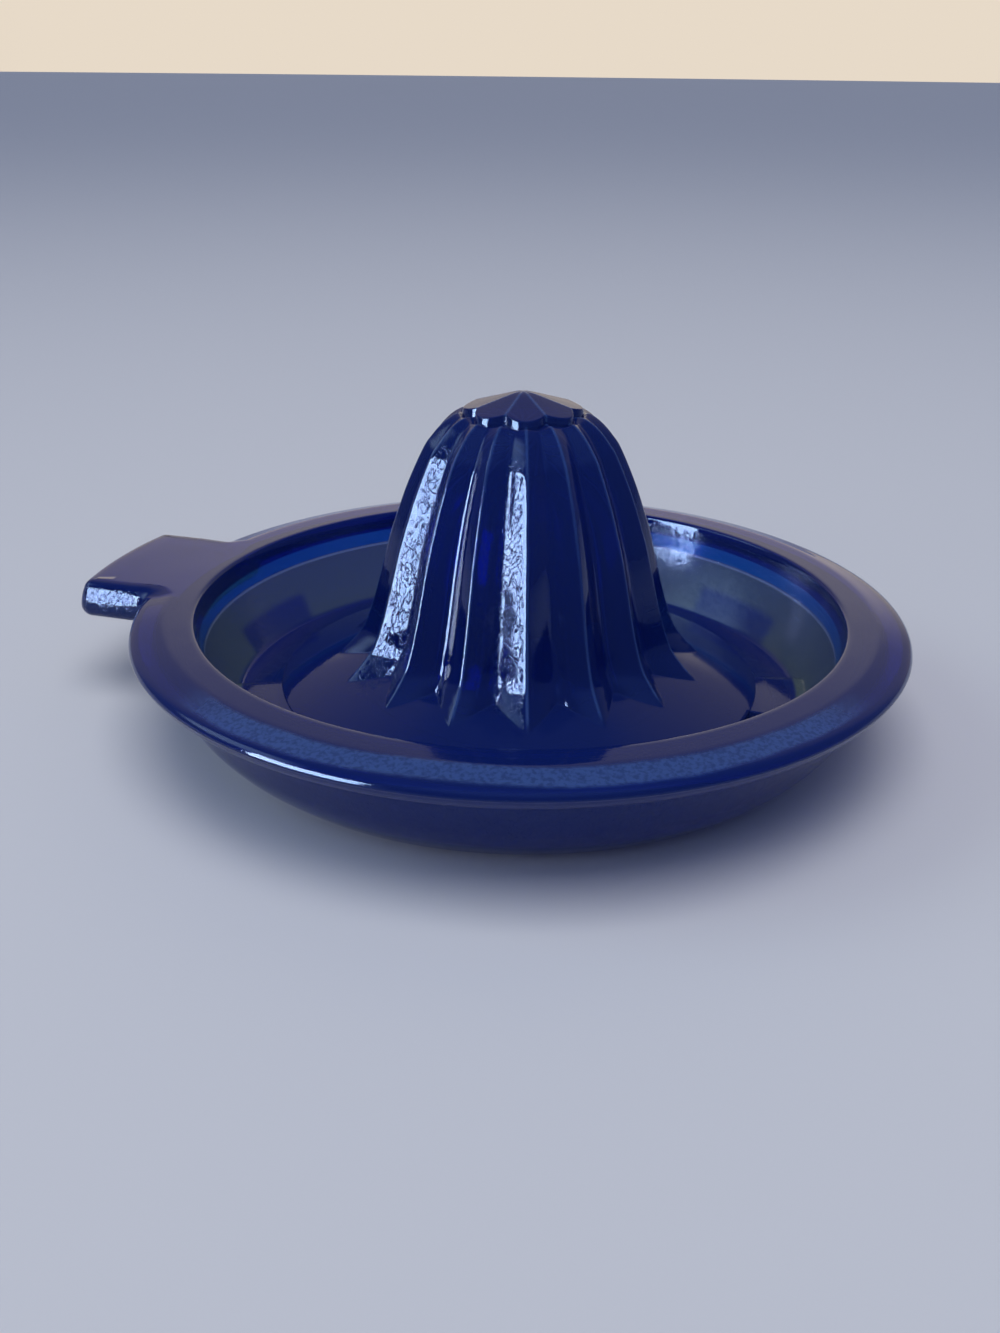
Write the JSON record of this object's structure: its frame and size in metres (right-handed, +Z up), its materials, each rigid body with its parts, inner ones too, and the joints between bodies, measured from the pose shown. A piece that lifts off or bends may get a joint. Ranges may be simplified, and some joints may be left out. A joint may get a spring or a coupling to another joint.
{
  "type": "citrus reamer",
  "caption": "Pressed cobalt glass hand reamer: ribbed hollow cone in a round juice dish with a flat rim, a tab handle and a pouring spout.",
  "frame": {"origin": "centre of the bounding box on the plane that the foot ring rests on; the axis of the bowl and cone lies 7.6 mm towards +X and 2.5 mm towards -Y of it", "axes": "+Z up along the cone, tab handle towards -X, pouring spout towards +Y"},
  "size_m": [0.1672, 0.157, 0.0662],
  "materials": {
    "cobalt_glass": "polished pressed glass, fire-polished edges"
  },
  "bodies": {
    "root": {"reamer_body": "cobalt_glass"}
  },
  "joints": []
}
